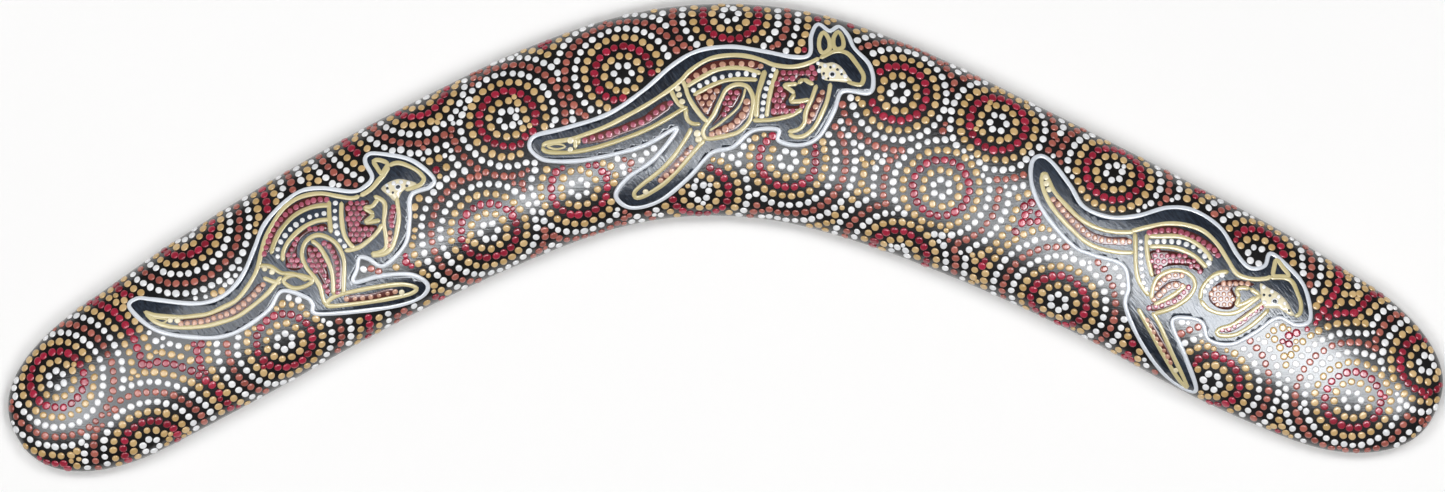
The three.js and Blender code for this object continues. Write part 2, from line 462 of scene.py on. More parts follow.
def honeycomb(outline, pitch, margin):
    """Places in rows by turns inside an outline, at least margin from it."""
    low, high = outline.min(axis=0), outline.max(axis=0)
    rows = np.arange(low[1], high[1], pitch * math.sqrt(0.75))
    columns = np.arange(low[0], high[0] + pitch, pitch)
    places = []
    for i, y in enumerate(rows):
        shift = 0.5 * pitch * (i % 2)
        places += [(x + shift, y) for x in columns]
    places = np.array(places)
    kept = inside(places, outline)
    kept &= distance_to(places, outline) > margin
    return places[kept]


# A film of paint: the pitch of the points inside it, and their distance to its rim in pitches.
SLAB_PITCH = 1.6 * MM
SLAB_MARGIN = 0.4


def add_slab(shells, outline, top, bottom, draw):
    """A flat film of paint inside an outline, following the dome."""
    rim = evenly(outline, LINE_STEP, True)
    flat = np.vstack([rim, honeycomb(rim, SLAB_PITCH, SLAB_MARGIN * SLAB_PITCH)])
    corners = [Vector(place) for place in (flat / MM).tolist()]
    filled = delaunay_2d_cdt(corners, [], [list(range(len(rim)))], 1, 1e-5)
    flat = MM * np.array([tuple(corner) for corner in filled[0]])
    triangles = filled[2]
    points, normals = on_blade(flat)
    count = len(points)
    faces = [tuple(face) for face in triangles]
    faces += [tuple(c + count for c in reversed(face)) for face in triangles]
    edges = {(a, b) for f in triangles for a, b in zip(f, list(f[1:]) + [f[0]])}
    for a, b in sorted(edges):
        if (b, a) not in edges:
            faces.append((b, a, a + count, b + count))
    both = np.vstack([points + top * normals, points + bottom * normals])
    shells.add(both, faces, draw.random())


# ---- Materials ----

VARNISH_IOR = 1.62
SPECULAR_BELOW_VARNISH = 0.2


class Nodes:
    """Short ways to add and join the nodes of one material."""

    def __init__(self, name):
        self.material = bpy.data.materials.new(name)
        self.material.use_nodes = True
        self.tree = self.material.node_tree
        self.shader = self.tree.nodes["Principled BSDF"]
        self.place = self.add("ShaderNodeTexCoord").outputs["Object"]

    def add(self, kind, **settings):
        node = self.tree.nodes.new(kind)
        for key, value in settings.items():
            setattr(node, key, value)
        return node

    def join(self, output, socket):
        self.tree.links.new(output, socket)

    def stretched(self, scale, turn=0.0):
        """Object coordinates, turned about Z and then scaled along each axis."""
        mapping = self.add("ShaderNodeMapping", vector_type="TEXTURE")
        mapping.inputs["Rotation"].default_value = (0, 0, turn)
        mapping.inputs["Scale"].default_value = [1 / share for share in scale]
        self.join(self.place, mapping.inputs["Vector"])
        return mapping.outputs["Vector"]

    def noise(self, vector, scale, detail=3.0, distortion=0.0):
        noise = self.add("ShaderNodeTexNoise")
        noise.inputs["Scale"].default_value = scale
        noise.inputs["Detail"].default_value = detail
        noise.inputs["Distortion"].default_value = distortion
        self.join(vector, noise.inputs["Vector"])
        return noise.outputs["Fac"]

    def maths(self, operation, a, b):
        node = self.add("ShaderNodeMath", operation=operation)
        for socket, value in zip(node.inputs, (a, b)):
            if isinstance(value, (int, float)):
                socket.default_value = value
            else:
                self.join(value, socket)
        return node.outputs[0]

    def blend(self, *parts):
        """The sum of the parts, each a (value, share)."""
        scaled = [self.maths("MULTIPLY", value, share) for value, share in parts]
        total = scaled[0]
        for part in scaled[1:]:
            total = self.maths("ADD", total, part)
        return total

    def ranged(self, value, low, high, from_low=0.3, from_high=0.7):
        """A value moved to between low and high."""
        node = self.add("ShaderNodeMapRange")
        node.inputs["From Min"].default_value = from_low
        node.inputs["From Max"].default_value = from_high
        node.inputs["To Min"].default_value = low
        node.inputs["To Max"].default_value = high
        self.join(value, node.inputs["Value"])
        return node.outputs["Result"]

    def ramp(self, value, stops):
        """Colours along a value: stops are (place, colour)."""
        node = self.add("ShaderNodeValToRGB")
        band = node.color_ramp
        while len(band.elements) < len(stops):
            band.elements.new(1.0)
        for element, (place, colour) in zip(band.elements, stops):
            element.position = place
            element.color = (*colour, 1)
        self.join(value, node.inputs["Fac"])
        return node.outputs["Color"]

    def bump(self, height, strength, distance, under=None):
        """A normal bent by a height, on top of the bump under it."""
        node = self.add("ShaderNodeBump")
        node.inputs["Strength"].default_value = strength
        node.inputs["Distance"].default_value = distance
        self.join(height, node.inputs["Height"])
        if under is not None:
            self.join(under, node.inputs["Normal"])
        return node.outputs["Normal"]

    def varnish(self, weight, roughness, normal):
        """Clear varnish: most of the gloss comes from it, and it follows the bumps below."""
        self.shader.inputs["Coat Weight"].default_value = weight
        self.shader.inputs["Coat Roughness"].default_value = roughness
        self.shader.inputs["Coat IOR"].default_value = VARNISH_IOR
        self.shader.inputs["Specular IOR Level"].default_value = SPECULAR_BELOW_VARNISH
        self.join(normal, self.shader.inputs["Normal"])
        self.join(normal, self.shader.inputs["Coat Normal"])


def paint(name, dark, light):
    """Thick hobby paint under clear varnish. Each dot or line has its own tone."""
    nodes = Nodes(name)
    tone = nodes.add("ShaderNodeAttribute", attribute_name="tone").outputs["Fac"]
    mottle = nodes.noise(nodes.place, scale=700, detail=2)
    mixed = nodes.blend((tone, 0.7), (mottle, 0.4))
    colour = nodes.ramp(mixed, [(0.1, dark), (0.95, light)])
    nodes.join(colour, nodes.shader.inputs["Base Color"])
    patches = nodes.noise(nodes.place, scale=160)
    nodes.join(nodes.ranged(patches, low=0.22, high=0.42), nodes.shader.inputs["Roughness"])
    fine = nodes.noise(nodes.place, scale=1500, detail=2)
    ripple = nodes.bump(fine, strength=0.12, distance=0.1 * MM)
    nodes.varnish(weight=1.0, roughness=0.15, normal=ripple)
    return nodes.material


def brushed_paint(name, dark, light, turn, depth, contrast):
    """Brushed dark paint under clear varnish, with brush marks turned from X.

    The depth is that of the marks, and the contrast is how sharply dark and light meet.
    """
    nodes = Nodes(name)
    along_brush = nodes.stretched((40, 260, 260), turn)
    strokes = nodes.noise(along_brush, scale=6, detail=4, distortion=0.4)
    cloud = nodes.noise(nodes.place, scale=30)
    mixed = nodes.blend((strokes, 0.6), (cloud, 0.4))
    half = 0.25 / contrast
    colour = nodes.ramp(mixed, [(0.5 - half, dark), (0.5 + half, light)])
    nodes.join(colour, nodes.shader.inputs["Base Color"])
    nodes.join(nodes.ranged(cloud, low=0.28, high=0.46), nodes.shader.inputs["Roughness"])
    marks = nodes.bump(strokes, strength=depth, distance=0.15 * MM)
    fine = nodes.noise(nodes.place, scale=900, detail=2)
    grain = nodes.bump(fine, strength=0.1, distance=0.1 * MM, under=marks)
    nodes.varnish(weight=1.0, roughness=0.17, normal=grain)
    return nodes.material


def veneer(name, pale, deep, along_x):
    """Rotary-cut veneer, with its grain along X or along Y."""
    nodes = Nodes(name)

    def with_grain(along, across):
        return nodes.stretched((along, across, across) if along_x else (across, along, across))

    figure = nodes.noise(with_grain(1.6, 16), scale=2.2, distortion=1.6)
    wave = nodes.add("ShaderNodeTexWave", wave_type="BANDS",
                     bands_direction="Y" if along_x else "X")
    wave.inputs["Scale"].default_value = 22
    wave.inputs["Distortion"].default_value = 9
    wave.inputs["Detail"].default_value = 3
    wave.inputs["Detail Scale"].default_value = 1.2
    nodes.join(with_grain(0.35, 1), wave.inputs["Vector"])
    fibre = nodes.noise(with_grain(40, 1400), scale=1)
    mixed = nodes.blend((figure, 0.45), (wave.outputs["Fac"], 0.22), (fibre, 0.36))
    middle = tuple(0.5 * (a + b) for a, b in zip(pale, deep))
    colour = nodes.ramp(mixed, [(0.3, pale), (0.55, middle), (0.8, deep)])
    nodes.join(colour, nodes.shader.inputs["Base Color"])
    nodes.join(nodes.ranged(fibre, low=0.34, high=0.52), nodes.shader.inputs["Roughness"])
    fibres = nodes.bump(fibre, strength=0.3, distance=0.08 * MM)
    nodes.varnish(weight=0.4, roughness=0.22, normal=fibres)
    return nodes.material


def pale_floor(name):
    """A matt, nearly white floor."""
    nodes = Nodes(name)
    cloud = nodes.noise(nodes.place, scale=3, detail=2)
    colour = nodes.ramp(cloud, [(0.3, (0.92, 0.93, 0.95)), (0.7, (0.94, 0.95, 0.97))])
    nodes.join(colour, nodes.shader.inputs["Base Color"])
    nodes.shader.inputs["Roughness"].default_value = 0.9
    nodes.shader.inputs["Specular IOR Level"].default_value = 0.1
    return nodes.material


# Each paint runs from its dark tone to its light one.
PAINTS = {
    "white": paint("white_paint", (0.72, 0.74, 0.78), (0.92, 0.93, 0.96)),
    "ice": paint("outline_paint", (0.62, 0.67, 0.75), (0.78, 0.82, 0.89)),
    "ochre": paint("ochre_paint", (0.5, 0.32, 0.12), (0.68, 0.48, 0.24)),
    "crimson": paint("crimson_paint", (0.19, 0.008, 0.02), (0.42, 0.02, 0.055)),
    "terracotta": paint("terracotta_paint", (0.27, 0.065, 0.05), (0.46, 0.14, 0.105)),
    "salmon": paint("salmon_paint", (0.44, 0.22, 0.15), (0.63, 0.36, 0.26)),
    "rose": paint("rose_paint", (0.27, 0.045, 0.08), (0.46, 0.11, 0.17)),
    "maroon": paint("maroon_paint", (0.05, 0.01, 0.008), (0.1, 0.022, 0.018)),
    "cream": paint("cream_paint", (0.66, 0.58, 0.38), (0.86, 0.8, 0.6)),
    "gold": paint("gold_line_paint", (0.49, 0.42, 0.2), (0.67, 0.59, 0.34)),
    "navy": brushed_paint("figure_paint", (0.004, 0.006, 0.012), (0.024, 0.035, 0.056),
                          turn=-0.9, depth=0.8, contrast=2.5),
}
# The slot name for each paint.
SLOTS = {
    "white": "white_paint", "ice": "white_paint", "ochre": "ochre_paint",
    "crimson": "crimson_paint", "terracotta": "terracotta_paint", "salmon": "terracotta_paint",
    "rose": "crimson_paint", "maroon": "crimson_paint",
    "cream": "cream_paint", "gold": "ochre_paint", "navy": "figure_paint",
}
GROUND = brushed_paint("ground_paint", (0.0025, 0.0022, 0.0025), (0.008, 0.007, 0.0075),
                       turn=0.0, depth=0.25, contrast=1.0)
VENEERS = [
    veneer("veneer_long", (0.66, 0.45, 0.24), (0.42, 0.24, 0.1), along_x=True),
    veneer("veneer_cross", (0.5, 0.31, 0.15), (0.3, 0.16, 0.07), along_x=False),
]

# ---- Wood and ground coat ----

CUT_TOLERANCE = 0.0001 * MM


def blade_solid(inset):
    """The whole blade as a closed bmesh, drawn in by inset."""
    loops = blade.loops(inset, np.full(SECTIONS + 1, np.pi / 2))
    mesh = bpy.data.meshes.new("blade")
    faces = grid_faces(loops.shape[0], loops.shape[1], wrap=True)
    mesh.from_pydata(loops.reshape(-1, 3).tolist(), [], faces)
    clean(mesh)
    work = bmesh.new()
    work.from_mesh(mesh)
    bpy.data.meshes.remove(mesh)
    return work


def cut_level(work, height, keep_above):
    """Cut a solid at a height, keep one side, and close the cut with a sharp-edged flat face."""
    everything = work.verts[:] + work.edges[:] + work.faces[:]
    cut = bmesh.ops.bisect_plane(work, geom=everything, dist=CUT_TOLERANCE,
                                 plane_co=(0, 0, height), plane_no=(0, 0, 1),
                                 clear_inner=keep_above, clear_outer=not keep_above)
    rim = [e for e in cut["geom_cut"] if isinstance(e, bmesh.types.BMEdge)]
    made = bmesh.ops.holes_fill(work, edges=rim)
    for face in made["faces"]:
        face.smooth = False
        for edge in face.edges:
            edge.smooth = False


def make_plies():
    """The veneers, cut one above another from the whole blade."""
    whole = blade_solid(COAT_THICKNESS + LAYER_GAP)
    for face in whole.faces:
        face.smooth = True
    for i in range(PLY_COUNT):
        ply = whole.copy()
        if i > 0:
            cut_level(ply, i * PLY_THICKNESS, True)
        if i < PLY_COUNT - 1:
            cut_level(ply, (i + 1) * PLY_THICKNESS, False)
        bmesh.ops.recalc_face_normals(ply, faces=ply.faces)
        piece = new_piece(f"veneer_{i + 1}", [], [], VENEERS[i % 2])
        ply.to_mesh(piece.data)
        ply.free()
        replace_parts(piece, f"ply_{i + 1}")
    whole.free()


# How far under the edge the ground coat reaches, as an angle, and how its brushed border wanders
# along the blade: reach, wavelength and phase.
COAT_ANGLE = 0.73
COAT_WANDER = [(0.07, 37 * MM, 0.0), (0.05, 13 * MM, 1.0), (0.03, 5.3 * MM, 2.2)]


def make_ground_coat():
    """A thin skin over the dome and round the edges, open over the back."""
    s = blade.length * section_fractions()
    wander = sum(reach * np.sin(2 * np.pi * s / wave + phase) for reach, wave, phase in COAT_WANDER)
    lowest = COAT_ANGLE + wander * blade.opening(s)
    outer = blade.loops(0.0, lowest)
    inner = blade.loops(COAT_THICKNESS, lowest)
    loops = np.concatenate([outer, inner[:, ::-1]], axis=1)
    faces = grid_faces(loops.shape[0], loops.shape[1], wrap=True)
    piece = new_piece("ground_coat_paint", loops.reshape(-1, 3), faces, GROUND)
    clean(piece.data)
    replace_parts(piece, "ground_coat")


# ---- Rings of dots ----

# Centres of the rings, seen from above. Each ring's radius is measured along the surface.
ROSETTES = MM * np.array([
    (-233.1, -94.1), (-200.2, -117.3), (-187.8, -43.5), (-153.5, -80.9), (-106.2, 3.9),
    (-75.8, -3.2), (-35.6, 12.6), (1.9, 33.2), (-82.3, -42.5), (-50.8, -27.4),
    (-8.5, -28.9), (21.9, -17.5), (60.6, 5.8), (95.2, -4.7), (75.4, -27.4),
    (61.0, -50.0), (135.8, -22.0), (116.3, -67.2), (185.3, -50.7), (169.7, -95.0),
    (219.0, -101.3), (245.0, -88.7),
])
FIRST_RADIUS = 3.0 * MM
RING_PITCH = 3.45 * MM
RINGS = 16
RING_COLOURS = ["white", "ochre"]
RING_COLOURS += ["crimson", "ochre", "white", "terracotta", "white", "ochre"] * 3
# A ring is found by walking out from its centre in this many directions, with steps this long.
DIRECTIONS = 240
MARCH = 0.5 * MM
DOT_PITCH = {"white": 3.2 * MM, "ochre": 3.4 * MM, "crimson": 3.05 * MM, "terracotta": 3.2 * MM}
DOT_RADIUS = {"white": 1.25 * MM, "ochre": 1.34 * MM, "crimson": 1.43 * MM,
              "terracotta": 1.31 * MM}
DOT_HEIGHT = 0.42 * MM
# How much the dots differ: spread of the radius and height as shares, and of the place.
RADIUS_SPREAD = 0.045
HEIGHT_SPREAD = 0.1
PLACE_SPREAD = 0.1 * MM
# The rings are laid twice: how far past the border between two rosettes a ring may go, in ring
# pitches, and the distance to the nearest dot.
PASSES = ((0.35, 2.72 * MM), (1.8, 2.66 * MM))
LOWEST_DOT = 5.2 * MM
OUTLINE_CLEARANCE = 1.7 * MM
# The last dots go wherever there is still room, first full ones and then small ones: the distance
# to the nearest dot, the distance to the nearest figure's outline, and the size as a share.
STRAYS = ((2.62 * MM, 2.15 * MM, 1.0), (2.27 * MM, 1.85 * MM, 0.72))
STRAY_PITCH = 0.8 * MM


def ring_loops(centre, radii):
    """Loops at the given distances from a centre, measured along the dome's surface."""
    start = blade.lift(centre[None, 0], centre[None, 1])
    up = blade.normal(start)[0]
    side = np.cross((0, 1, 0), up)
    side /= np.linalg.norm(side)
    ahead = np.cross(up, side)
    turns = np.linspace(0, 2 * np.pi, DIRECTIONS, endpoint=False)
    heading = np.cos(turns)[:, None] * side + np.sin(turns)[:, None] * ahead
    points = np.repeat(start, DIRECTIONS, axis=0)
    s = None
    paths = [points]
    for _ in range(int(radii[-1] / MARCH) + 2):
        moved, s = blade.settle(points + MARCH * heading, s)
        normals = blade.normal(moved, s)
        heading = moved - points
        heading -= np.sum(heading * normals, axis=1)[:, None] * normals
        heading /= np.linalg.norm(heading, axis=1)[:, None]
        points = moved
        paths.append(points)
    loops = []
    for radius in radii:
        before = int(radius / MARCH)
        share = radius / MARCH - before
        loops.append(paths[before] * (1 - share) + paths[before + 1] * share)
    return loops


def spread_along(loop, pitch, phase):
    """Evenly spaced points along a closed loop."""
    closed = np.vstack([loop, loop[:1]])
    steps = np.linalg.norm(np.diff(closed, axis=0), axis=1)
    run = np.concatenate([[0], np.cumsum(steps)])
    count = max(6, int(round(run[-1] / pitch)))
    places = (np.arange(count) + phase) / count * run[-1]
    return np.stack([np.interp(places, run, closed[:, i]) for i in range(3)], axis=1)


class Placed:
    """Dots already placed, in cells, so that near ones are found fast."""

    CELL = 3.5 * MM

    def __init__(self):
        self.cells = {}

    def key(self, point):
        """The cell that a point is in."""
        return tuple(int(v) for v in np.floor(point / self.CELL))

    def crowded(self, point, nearest):
        """True if a placed dot is closer than nearest."""
        for cell in product(*((i - 1, i, i + 1) for i in self.key(point))):
            if any(math.dist(other, point) < nearest for other in self.cells.get(cell, ())):
                return True
        return False

    def add(self, point):
        self.cells.setdefault(self.key(point), []).append(tuple(point))


def lay_rings(outlines):
    """Place, colour and size of each ring dot: first the rings, then the gaps between them."""
    draw = np.random.default_rng(SEED)
    radii = FIRST_RADIUS + RING_PITCH * np.arange(RINGS)
    centres = blade.lift(ROSETTES[:, 0], ROSETTES[:, 1])
    rings = [[] for _ in range(RINGS)]
    for i, centre in enumerate(ROSETTES):
        for n, loop in enumerate(ring_loops(centre, radii)):
            points = spread_along(loop, DOT_PITCH[RING_COLOURS[n]], draw.random())
            points = points[points[:, 2] > LOWEST_DOT]
            for outline in outlines:
                near = distance_to(points, outline) < OUTLINE_CLEARANCE
                points = points[~(inside(points, outline) | near)]
            gaps = np.linalg.norm(points[:, None] - centres, axis=2)
            excess = (gaps[:, i] - gaps.min(axis=1)) / RING_PITCH
            rings[n] += list(zip(points, excess))
    placed = Placed()
    dots = []
    for limit, nearest in PASSES:
        for n, ring in enumerate(rings):
            for point, excess in ring:
                if excess <= limit and not placed.crowded(point, nearest):
                    placed.add(point)
                    dots.append((point, RING_COLOURS[n], 1.0))
    return dots + lay_strays(outlines, placed, centres, draw)


def lay_strays(outlines, placed, centres, draw):
    """Dots in the gaps that are left, in the colour of the nearest rosette's ring there."""
    s = np.arange(0.5 * STRAY_PITCH, blade.length, STRAY_PITCH)
    shares = np.arange(-0.99, 0.99, STRAY_PITCH / SPINE_STATIONS[:, 2].max())
    s, shares = (values.ravel() for values in np.meshgrid(s, shares))
    points = blade.place(s, shares)[draw.permutation(len(s))]
    points = points[points[:, 2] > LOWEST_DOT]
    least = STRAYS[-1][0]
    points = np.array([point for point in points if not placed.crowded(point, least)])
    for outline in outlines:
        points = points[~inside(points, outline)]
    gaps = np.linalg.norm(points[:, None] - centres, axis=2).min(axis=1)
    points, gaps = points[gaps > FIRST_RADIUS], gaps[gaps > FIRST_RADIUS]
    rings = np.rint((gaps - FIRST_RADIUS) / RING_PITCH).astype(int).clip(0, RINGS - 1)
    clear = np.min([distance_to(points, outline) for outline in outlines], axis=0)
    strays = []
    for nearest, clearance, size in STRAYS:
        for point, ring, room in zip(points, rings, clear):
            if room > clearance and not placed.crowded(point, nearest):
                placed.add(point)
                strays.append((point, RING_COLOURS[ring], size))
    return strays


def make_ring_dots(outlines):
    """The ring dots as one mesh for each colour."""
    dots = lay_rings(outlines)
    draw = np.random.default_rng(SEED + 1)
    normals = blade.normal(np.array([point for point, _, _ in dots]))
    shells = {colour: Shells() for colour in DOT_RADIUS}
    for (point, colour, size), normal in zip(dots, normals):
        radius = size * DOT_RADIUS[colour] * draw.normal(1, RADIUS_SPREAD)
        height = DOT_HEIGHT * draw.normal(1, HEIGHT_SPREAD)
        wobble = draw.normal(0, PLACE_SPREAD, 3)
        wobble -= np.dot(wobble, normal) * normal
        add_dot(shells[colour], point + wobble, normal, radius, height, 0.0, draw)
    for colour, made in shells.items():
        made.build(f"{colour}_ring_dots", PAINTS[colour], SLOTS[colour])


# ---- Kangaroos ----

BODY_TOP = 0.35 * MM
OUTLINE_WIDTH = 1.75 * MM
OUTLINE_HEIGHT = 0.6 * MM
LINE_WIDTH = 1.65 * MM
LINE_HEIGHT = 0.32 * MM
FACE_TOP = 0.5 * MM
# The small dots: their height, and the spread of their size as a share and of their place.
MARK_HEIGHT = 0.3 * MM
MARK_SIZE_SPREAD = 0.07
MARK_PLACE_SPREAD = 0.07 * MM
# In a filled patch they keep this share of their radius from its border.
PATCH_MARGIN = 0.15
# The maroon films that the rose and salmon dots stand on.
FILM_TOP = 0.44 * MM
FILM_MARGIN = 0.6 * MM
FILMED = ("rose", "salmon")
EYE_RADIUS = 1.35 * MM
PUPIL_RADIUS = 0.85 * MM
PUPIL_HEIGHT = 0.42 * MM
MARK_COLOURS = ("maroon", "white", "rose", "salmon", "cream", "navy")

# Each kangaroo is drawn in millimetres, seen from above. Its outline runs clockwise from the tip
# of the tail. Lines are gold, bands are gold lines of a given width, and loops are closed lines.
# A row is a colour, a pitch, a dot radius and the curve that its dots follow. A patch is a border
# filled with dots. The face is a cream film. Spots are a colour, a radius and single places.

LEFT_KANGAROO = {
    "outline": [
        (-207.5, -69.2), (-205, -66), (-199.5, -66.3), (-186.4, -67.7), (-178.8, -66.8),
        (-172.7, -63.4), (-167.9, -57.5), (-164.1, -48.8), (-160.8, -40.6), (-155.3, -34),
        (-148.4, -28.8), (-140.7, -27.5), (-130, -28.7), (-125.4, -26.9), (-122.9, -23.6),
        (-125.3, -18.6), (-124.8, -16.1), (-121.6, -15.4), (-111.4, -17), (-105.6, -20.1),
        (-101.4, -24.4), (-103, -27.1), (-109.4, -30), (-109.9, -38.6), (-111.6, -47.2),
        (-119, -54.4), (-124.4, -51.9), (-127.4, -51.7), (-128.2, -55.5), (-129.3, -60.2),
        (-120, -58), (-109.8, -57.5), (-103.8, -61), (-106.6, -65.6), (-118, -69),
        (-141.4, -71.2), (-143.6, -68), (-146, -65.4), (-154.4, -63.3), (-159.6, -70.4),
        (-171.4, -78), (-183, -79.5), (-198, -77),
    ],
    "lines": [
        # back, from the tail to the neck; under the tail; second and third arcs of the haunch
        [(-202.6, -70.6), (-198, -71.9), (-190, -72.4), (-185, -72), (-180, -71.2), (-175, -69),
         (-170, -66.2), (-165.6, -60.6), (-162.8, -55), (-160.2, -45), (-155, -35.9), (-150, -31.6),
         (-145, -29.8), (-140, -29.4), (-135, -30.3), (-130, -31), (-127.2, -30.2)],
        [(-202, -71), (-198.5, -74), (-194, -75.6), (-190, -76), (-185, -75.9), (-180, -75.3),
         (-175, -74), (-170, -72.2), (-165, -68.8), (-160, -64.7), (-156.8, -61), (-154.5, -58.2)],
        [(-158.2, -50.5), (-157, -46.5), (-155, -42.5), (-151.5, -38.3), (-148.4, -36), (-144.5, -34.3),
         (-141, -33.6), (-137.2, -33.4)],
        [(-154.1, -53), (-153.9, -49.8), (-152.4, -46.5), (-149.9, -43.6), (-147.4, -41.5),
         (-144.9, -40), (-141.6, -38.8), (-137.6, -38.4)],
        # hip
        [(-162.5, -54.5), (-158.4, -54.8), (-154.5, -57), (-150, -57.4), (-145.5, -59.6)],
        [(-161, -58.6), (-157.5, -60), (-154.6, -60.4)],
        # thigh, with the line inside it
        [(-139.3, -68.2), (-140.3, -65), (-141, -62), (-143, -58.5), (-145.7, -55.3), (-147.3, -51.5),
         (-147, -48), (-145.4, -45.4), (-142.5, -43.9), (-139.5, -44.2), (-136, -46.2), (-133.9, -49.2),
         (-132.7, -53), (-132.8, -58.6), (-133, -64.6)],
        [(-144.2, -45.6), (-141.5, -47.6), (-139.3, -51), (-137.6, -54.6), (-136.7, -58.4),
         (-136.5, -64.6)],
        # shoulder and belly
        [(-138, -31.8), (-137.8, -38), (-137.2, -43.2)],
        [(-133.6, -32.2), (-133.6, -38), (-132.7, -43.4), (-130.9, -46.6), (-128.9, -48.6)],
        [(-132.6, -49.2), (-130.2, -48.9), (-127.2, -47.9), (-124.5, -46), (-122, -43.8),
         (-120.4, -41.8), (-119.5, -39.8)],
        # arm
        [(-122.4, -30.2), (-119.8, -31.4), (-118.5, -33), (-118.5, -36), (-118.8, -39.6), (-118, -45.4),
         (-118.3, -48.4), (-120.8, -49.9), (-123.4, -50.3)],
        [(-114.4, -30.6), (-113.6, -37), (-114.1, -41.4), (-115, -45.4), (-116.4, -48.6), (-119, -50.4),
         (-123.2, -51)],
        # head
        [(-117.2, -19.7), (-115, -18.8), (-113, -18.8), (-110.4, -19.7), (-107.2, -21.4),
         (-105.4, -23.2), (-104.9, -24.6), (-106.2, -26.3), (-109.4, -27.5), (-111.5, -28)],
        # star on the chest
        [(-126, -34.3), (-123, -33.8), (-121.6, -32.2), (-120.6, -30.9)],
        [(-126, -34.3), (-124, -35.4), (-122.2, -36.6)],
        [(-122.2, -36.6), (-123.8, -38.1), (-125.7, -39.5)],
        [(-125.7, -39.5), (-123, -39.2), (-120, -38.6)],
    ],
    "bands": [
        (0.8, [(-200.6, -72.4), (-196, -73), (-194.4, -73.4), (-196, -74.4), (-199, -73.8),
            (-200.6, -72.4)]),
        (1.8, [(-127.2, -30.2), (-124.8, -28.9), (-122.6, -27.1), (-120.8, -24.9), (-119.2, -23.2),
            (-118, -21.4), (-117, -19.9)]),
    ],
    "loops": [
        # foot, hip and ear
        [(-138.4, -68.4), (-137.4, -66), (-134, -64.4), (-125.9, -62.6), (-118, -61.3), (-111.6, -60.9),
         (-107.6, -62.2), (-109.8, -64.1), (-117, -65.8), (-127.6, -67.5)],
        [(-153.8, -59.4), (-151, -57.8), (-147.4, -58), (-143.6, -59.6), (-146.4, -61.6),
         (-149.8, -62.3), (-152.6, -61.2)],
        [(-122.4, -18), (-120, -17.8), (-117.6, -19), (-118.8, -21.2), (-119.6, -22.6),
         (-121.2, -20.4)],
    ],
    "rows": [
        ("salmon", 2.4, 1.02, [(-189.6, -74.6), (-185, -74.3), (-180, -73.5), (-175.5, -72),
            (-171.5, -70.4), (-167.4, -67.6), (-164.2, -64.6), (-161, -61)]),
        ("rose", 2.3, 1.02, [(-160.6, -50.4), (-159.6, -47), (-158.2, -43.8), (-156.2, -40.2),
            (-153.8, -37.4), (-151, -35.2), (-148, -33.5), (-144.6, -32.2), (-141.4, -31.5),
            (-138.8, -31.4)]),
        ("white", 2.85, 0.92, [(-155.9, -51.4), (-155.7, -48.4), (-154.6, -45.9), (-153, -43.7),
            (-150.9, -41.3), (-147.9, -39.1), (-145, -37.7), (-142.4, -36.9), (-139.6, -36.1)]),
        ("white", 2.6, 0.92, [(-135.8, -32.8), (-135.9, -36), (-135.9, -39.4), (-135.3, -42.6),
            (-134, -46), (-132.6, -47.6)]),
        ("rose", 1.9, 0.92, [(-115.4, -34), (-115.8, -36), (-116.2, -38.4), (-116.1, -40.6)]),
        ("salmon", 2.1, 0.92, [(-116.7, -43), (-116.9, -45), (-117.2, -47.4)]),
        ("salmon", 2.8, 0.92, [(-132, -66), (-127, -65.7), (-122, -65), (-118, -64), (-115, -63.4)]),
        ("rose", 2.1, 0.92, [(-139.6, -46.6), (-137.6, -48), (-136.2, -50.6), (-135.2, -53.4),
            (-134.9, -57), (-134.9, -61), (-135, -63.8)]),
    ],
    "patches": [
        ("rose", 2.1, 0.92, [(-153, -54.6), (-152.6, -50), (-151, -46.8), (-148, -43.4),
            (-144.4, -41.2), (-139.4, -39.8), (-138.6, -42.2), (-142, -42.4), (-146, -43.6),
            (-148.8, -47), (-149, -51.6), (-147.6, -55), (-150, -56.2)]),
        ("rose", 2.1, 0.95, [(-145.8, -50), (-145, -47.2), (-142.4, -48.6), (-140.2, -52),
            (-138.4, -56.4), (-137.8, -61), (-138.2, -65.4), (-139.6, -62), (-141.6, -58),
            (-144.4, -54)]),
        ("rose", 2.1, 0.95, [(-132.2, -32.8), (-128, -32.4), (-124.6, -31.6), (-124.2, -33.2),
            (-127.2, -34.4), (-124, -36.6), (-127, -39.8), (-121.6, -40.4), (-121.6, -42),
            (-125, -45.2), (-129.6, -47.2), (-131.2, -43.6), (-132, -38)]),
    ],
    "face":
        [(-119.8, -27.7), (-118.4, -26.2), (-115.7, -24.8), (-113, -24.3), (-109.5, -25),
         (-107.3, -25.9), (-108.4, -27.2), (-111.5, -28), (-112.8, -29.2), (-113.6, -31), (-115.2, -32),
         (-117, -30.2), (-118.6, -29)],
    "spots": [
        ("cream", 1.05, [(-160.3, -55.4), (-157.8, -56.7), (-112.9, -63.6), (-193.2, -73.5),
            (-190.8, -73.5)]),
        ("white", 0.7, [(-117.8, -26.6), (-115.4, -25.8), (-112.8, -25.3), (-110.4, -25.7),
            (-117.4, -28.6)]),
        ("navy", 0.5, [(-115.6, -29), (-117.6, -27.7), (-110.8, -26.8)]),
    ],
    "eye": (-113.9, -27.1),
}

